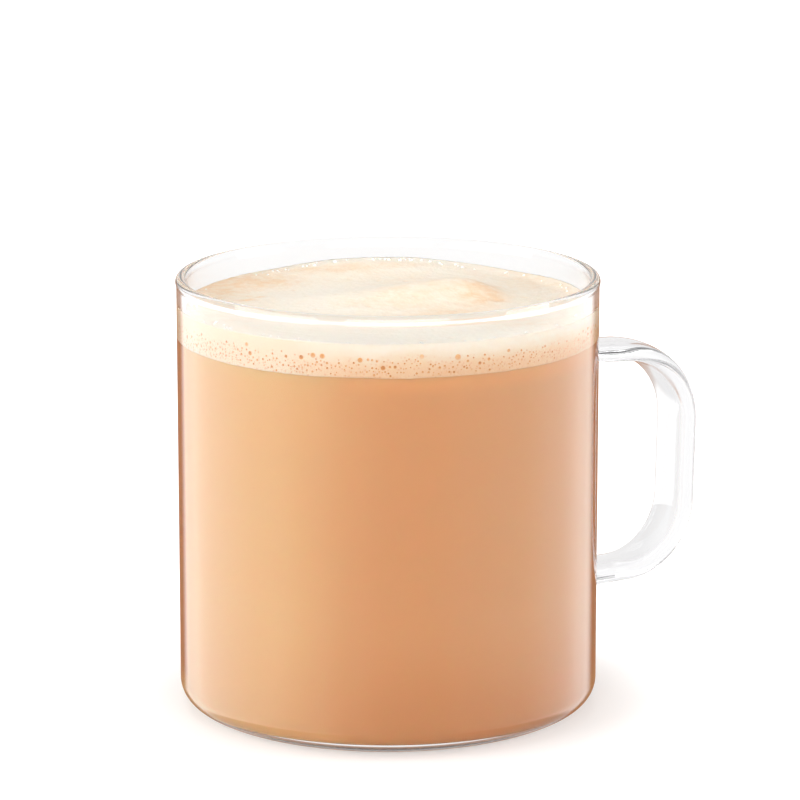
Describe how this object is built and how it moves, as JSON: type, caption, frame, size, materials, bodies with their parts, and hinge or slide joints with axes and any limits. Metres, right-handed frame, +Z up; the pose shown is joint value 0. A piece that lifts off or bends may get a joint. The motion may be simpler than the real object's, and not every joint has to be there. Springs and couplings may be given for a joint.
{
  "type": "cappuccino in a glass mug",
  "caption": "Coffee under a soft layer of milk foam with one gentle mound, in a straight clear glass mug with a flat strap handle.",
  "frame": {"origin": "middle of the mug's foot, on the surface it stands on", "axes": "+Z up along the mug's axis, +X towards the handle"},
  "size_m": [0.1192, 0.0884, 0.092],
  "materials": {
    "glass": "clear polished glass",
    "coffee": "opaque milky coffee",
    "foam": "fine milk foam"
  },
  "bodies": {
    "root": {"glass_mug": "glass", "coffee": "coffee", "milk_foam": "foam"}
  },
  "joints": []
}
